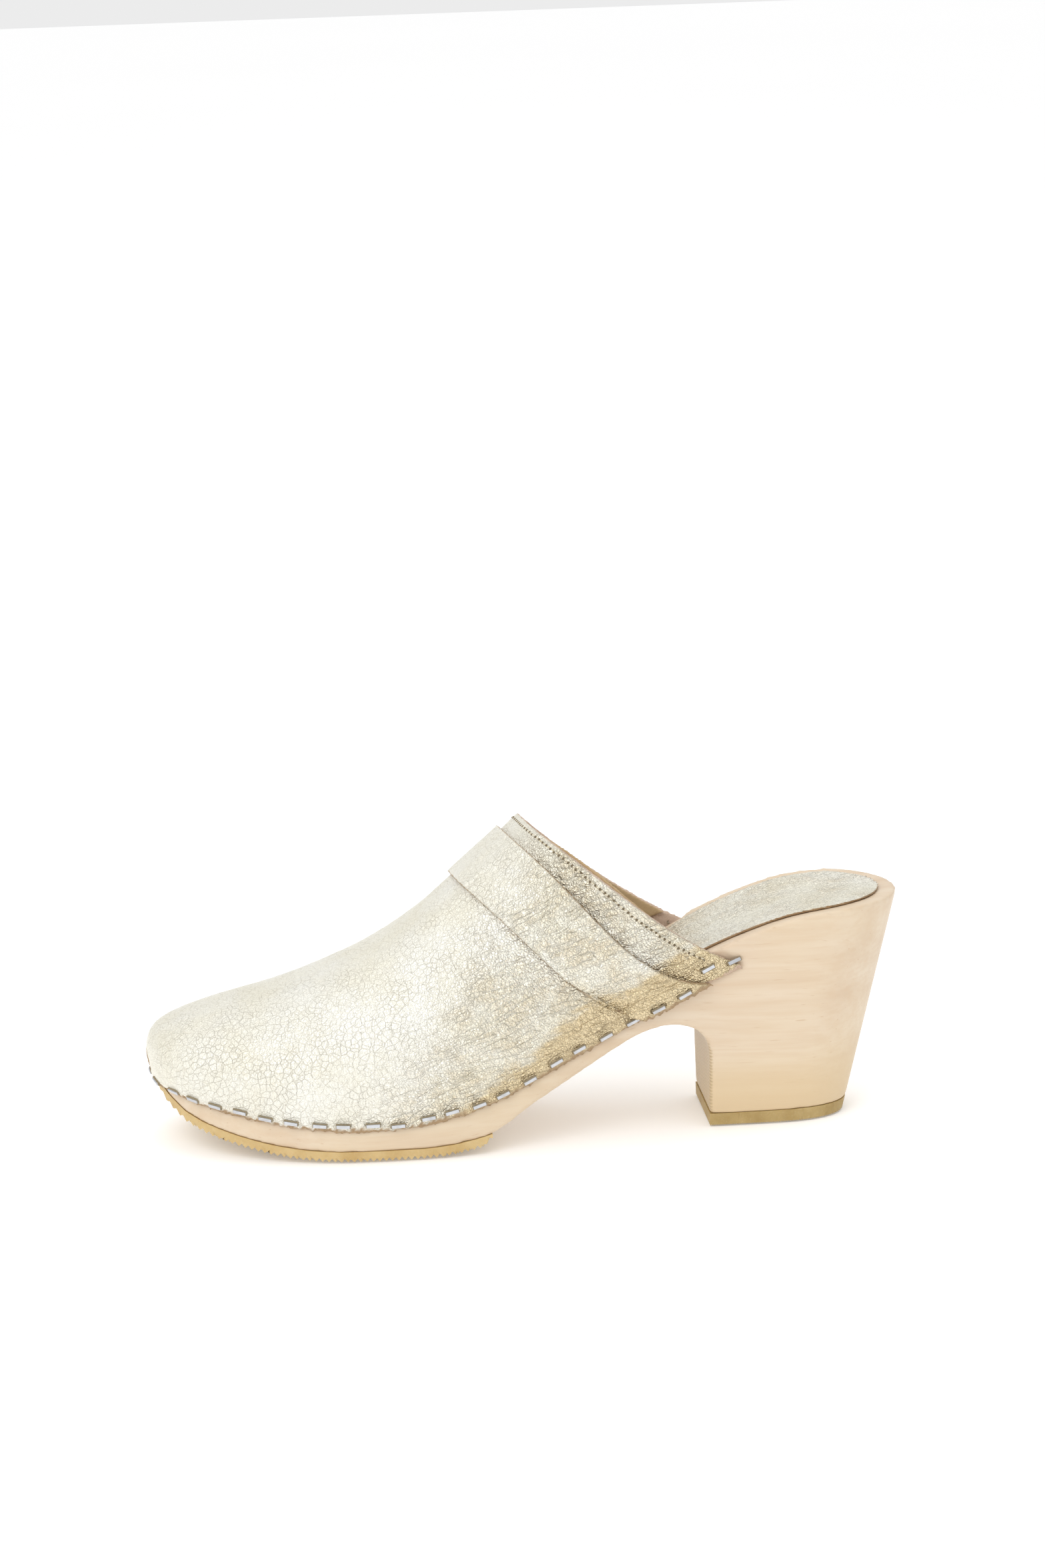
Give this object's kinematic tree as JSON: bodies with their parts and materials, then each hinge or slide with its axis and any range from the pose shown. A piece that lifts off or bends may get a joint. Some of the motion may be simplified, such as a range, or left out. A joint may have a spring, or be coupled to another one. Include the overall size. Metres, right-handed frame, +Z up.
{
  "type": "wooden clog",
  "caption": "Heeled backless clog with a one-piece wooden sole and block heel, a stapled metallic leather upper, and rubber tread under the forefoot and heel.",
  "frame": {"origin": "bottom centre of the bounding box, on the ground that the heel lift and the forefoot rubber stand on", "axes": "+X from heel to toe, +Y to the wearer's left, which is the outer side of this left shoe, +Z up"},
  "size_m": [0.249, 0.0846, 0.1028],
  "materials": {
    "wood": "smooth satin, fine pores",
    "sole_rubber": "matt gum rubber",
    "sock_leather": "crackled pale metallic",
    "upper_leather": "crackled pale gold metallic",
    "lining_suede": "tan suede",
    "thread": "twisted thread",
    "staple_steel": "bright flat wire"
  },
  "bodies": {
    "root": {"sole_block": "wood", "forefoot_outsole": "sole_rubber", "heel_lift": "sole_rubber", "heel_sock": "sock_leather", "vamp": "upper_leather", "instep_strap": "upper_leather", "collar_band": "upper_leather", "collar_lining": "lining_suede", "collar_stitching": "thread", "staple_toe": "staple_steel", "staple_lateral_01": "staple_steel", "staple_lateral_02": "staple_steel", "staple_lateral_03": "staple_steel", "staple_lateral_04": "staple_steel", "staple_lateral_05": "staple_steel", "staple_lateral_06": "staple_steel", "staple_lateral_07": "staple_steel", "staple_lateral_08": "staple_steel", "staple_lateral_09": "staple_steel", "staple_lateral_10": "staple_steel", "staple_lateral_11": "staple_steel", "staple_lateral_12": "staple_steel", "staple_lateral_13": "staple_steel", "staple_lateral_14": "staple_steel", "staple_lateral_15": "staple_steel", "staple_lateral_16": "staple_steel", "staple_lateral_17": "staple_steel", "staple_lateral_18": "staple_steel", "staple_lateral_19": "staple_steel", "staple_lateral_20": "staple_steel", "staple_lateral_21": "staple_steel", "staple_lateral_22": "staple_steel", "staple_lateral_23": "staple_steel", "staple_lateral_24": "staple_steel", "staple_medial_01": "staple_steel", "staple_medial_02": "staple_steel", "staple_medial_03": "staple_steel", "staple_medial_04": "staple_steel", "staple_medial_05": "staple_steel", "staple_medial_06": "staple_steel", "staple_medial_07": "staple_steel", "staple_medial_08": "staple_steel", "staple_medial_09": "staple_steel", "staple_medial_10": "staple_steel", "staple_medial_11": "staple_steel", "staple_medial_12": "staple_steel", "staple_medial_13": "staple_steel", "staple_medial_14": "staple_steel", "staple_medial_15": "staple_steel", "staple_medial_16": "staple_steel", "staple_medial_17": "staple_steel", "staple_medial_18": "staple_steel", "staple_medial_19": "staple_steel", "staple_medial_20": "staple_steel", "staple_medial_21": "staple_steel", "staple_medial_22": "staple_steel", "staple_medial_23": "staple_steel", "staple_medial_24": "staple_steel"}
  },
  "joints": []
}
